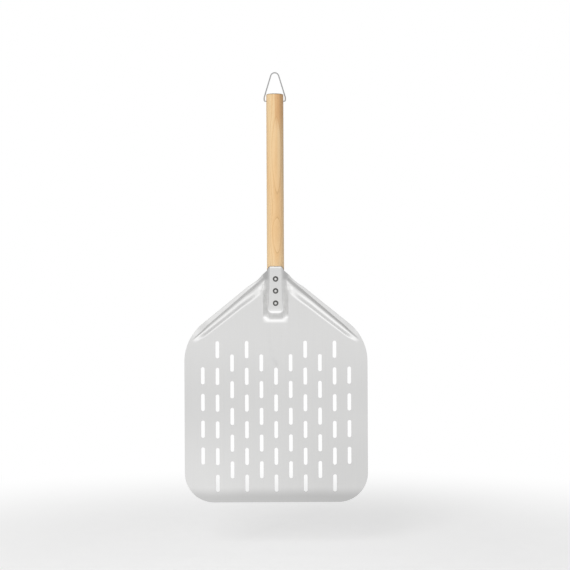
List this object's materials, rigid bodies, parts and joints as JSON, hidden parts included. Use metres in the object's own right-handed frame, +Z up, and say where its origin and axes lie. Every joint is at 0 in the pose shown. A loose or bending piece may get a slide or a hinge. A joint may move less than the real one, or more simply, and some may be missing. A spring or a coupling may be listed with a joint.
{
  "type": "pizza peel",
  "caption": "Perforated metal pizza peel: flat slotted blade with a raised neck socket and shoulder beads, riveted round wooden handle and a swinging wire hanging loop.",
  "frame": {"origin": "inside of the apex of the wire loop, where a hook carries it, with the loop standing up in line with the handle", "axes": "+Z up along the handle from the blade's front edge to the hanging loop; +Y out of the blade's underside, so the cooking face looks towards -Y; +X to the right as seen from the cooking face"},
  "size_m": [0.3, 0.0291, 0.7048],
  "materials": {
    "blade_aluminium": "fine satin, lightly brushed",
    "handle_wood": "sanded beech, thin clear oil",
    "rivet_steel": "dark steel head with a bright crown",
    "washer_steel": "zinc-grey stamped steel",
    "wire_steel": "drawn bright wire"
  },
  "bodies": {
    "peel": {"blade": "blade_aluminium", "handle": "handle_wood", "rivet_upper": "rivet_steel", "rivet_middle": "rivet_steel", "rivet_lower": "rivet_steel", "washer_upper": "washer_steel", "washer_middle": "washer_steel", "washer_lower": "washer_steel"},
    "bail": {"hanging_bail": "wire_steel"}
  },
  "joints": [
    {"name": "bail_swing", "type": "hinge", "parent": "peel", "child": "bail", "pos_m": [0, 0, -0.0458], "axis": [1, 0, 0], "range_deg": [-155, 155]}
  ]
}
